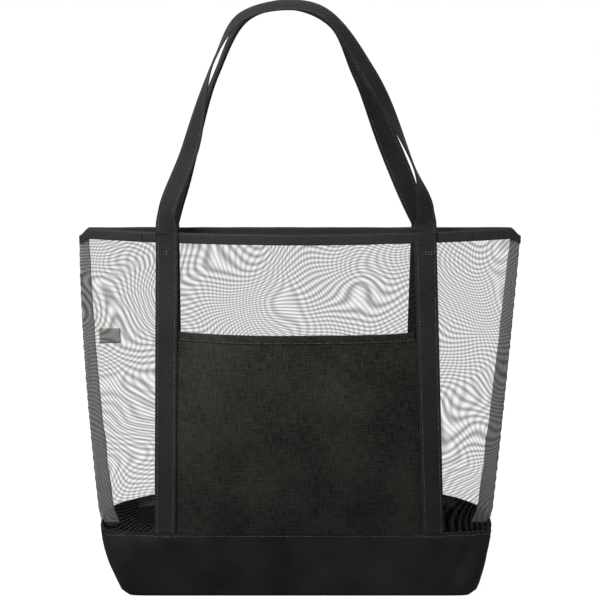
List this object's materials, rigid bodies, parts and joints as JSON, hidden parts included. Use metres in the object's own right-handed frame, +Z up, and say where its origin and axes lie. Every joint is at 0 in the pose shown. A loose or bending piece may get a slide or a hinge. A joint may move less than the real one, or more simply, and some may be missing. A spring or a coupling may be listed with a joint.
{
  "type": "beach tote bag",
  "caption": "Open-topped boat tote with see-through mesh panels, a boxed woven base, a bound rim, a front patch pocket and two tall strap handles.",
  "frame": {"origin": "on the floor under the middle of the base", "axes": "+Z up, +X to the right seen from the front, front panel and pocket facing -Y"},
  "size_m": [0.508, 0.1347, 0.6823],
  "materials": {
    "woven_cloth": "black woven polyester, matt, fine slub",
    "net": "black polyester net, see-through",
    "binding_tape": "black folded polyester tape",
    "strap_cloth": "black folded woven strap, top-stitched",
    "thread": "black polyester sewing thread",
    "label_tape": "grey satin label tape, plain"
  },
  "bodies": {
    "base": {"base_panel": "woven_cloth", "side_seam_left": "net", "side_seam_right": "net", "front_base_allowance": "net", "back_base_allowance": "net"},
    "front_panel": {"front_mesh_panel": "net", "front_rim_binding": "binding_tape", "front_pocket": "woven_cloth", "front_strap_left": "strap_cloth", "front_strap_right": "strap_cloth", "front_tack_left": "thread", "front_tack_right": "thread"},
    "back_panel": {"back_mesh_panel": "net", "back_rim_binding": "binding_tape", "back_strap_left": "strap_cloth", "back_strap_right": "strap_cloth", "back_tack_left": "thread", "back_tack_right": "thread"},
    "front_loop": {"front_handle": "strap_cloth"},
    "back_loop": {"back_handle": "strap_cloth"},
    "label": {"care_label": "label_tape"}
  },
  "joints": [
    {"name": "front_panel_open", "type": "hinge", "parent": "base", "child": "front_panel", "pos_m": [0, -0.0712, 0.065], "axis": [1, 0, 0], "range_deg": [0, 8]},
    {"name": "back_panel_open", "type": "hinge", "parent": "base", "child": "back_panel", "pos_m": [0, 0.0712, 0.065], "axis": [-1, 0, 0], "range_deg": [0, 8]},
    {"name": "front_handle_swing", "type": "hinge", "parent": "front_panel", "child": "front_loop", "pos_m": [0, -0.0214, 0.4215], "axis": [1, 0, 0], "range_deg": [0, 160]},
    {"name": "back_handle_swing", "type": "hinge", "parent": "back_panel", "child": "back_loop", "pos_m": [0, 0.0214, 0.4215], "axis": [-1, 0, 0], "range_deg": [0, 160]},
    {"name": "label_flip", "type": "hinge", "parent": "base", "child": "label", "pos_m": [-0.2353, 0, 0.295], "axis": [0, 0, 1], "range_deg": [-12, 12]}
  ]
}
